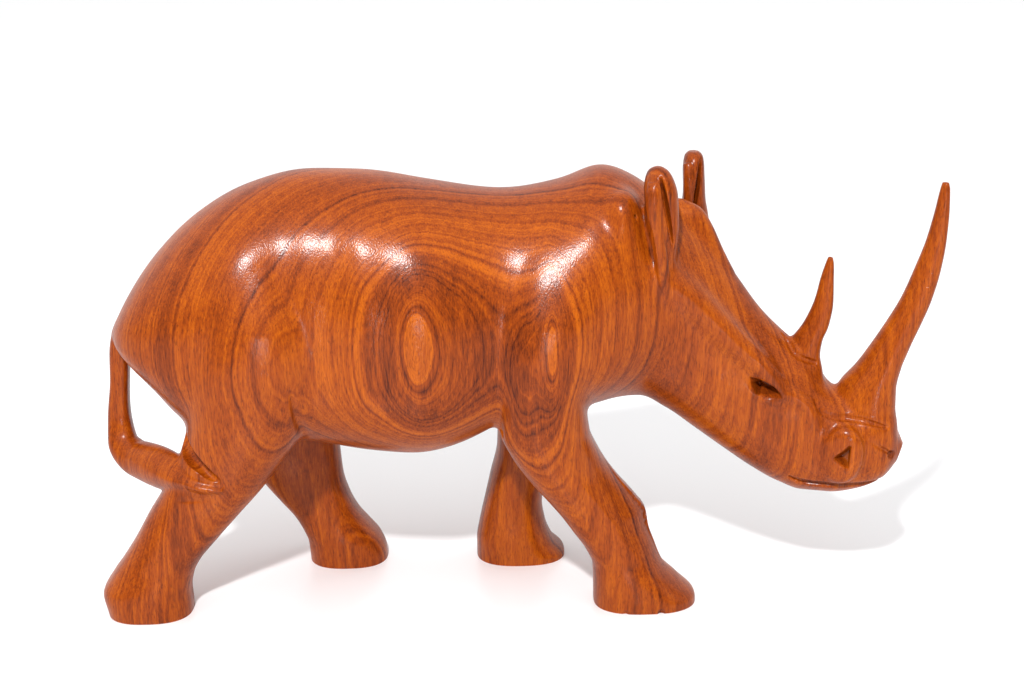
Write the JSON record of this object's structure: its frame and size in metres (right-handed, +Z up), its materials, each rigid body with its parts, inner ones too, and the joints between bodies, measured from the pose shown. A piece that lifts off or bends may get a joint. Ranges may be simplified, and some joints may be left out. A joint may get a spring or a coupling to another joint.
{
  "type": "carved rhinoceros figurine",
  "caption": "Carved and polished wooden rhinoceros in mid stride, head turned to its right, tail looped onto its right hind leg.",
  "frame": {"origin": "centre of the bounding box on X and Y, with the four soles at Z = 0", "axes": "+X the way the animal walks, +Y to the animal's left, +Z up"},
  "size_m": [0.2798, 0.081, 0.1498],
  "materials": {
    "wood": "hand carved and polished to a satin gloss"
  },
  "bodies": {
    "root": {"rhinoceros": "wood"}
  },
  "joints": []
}
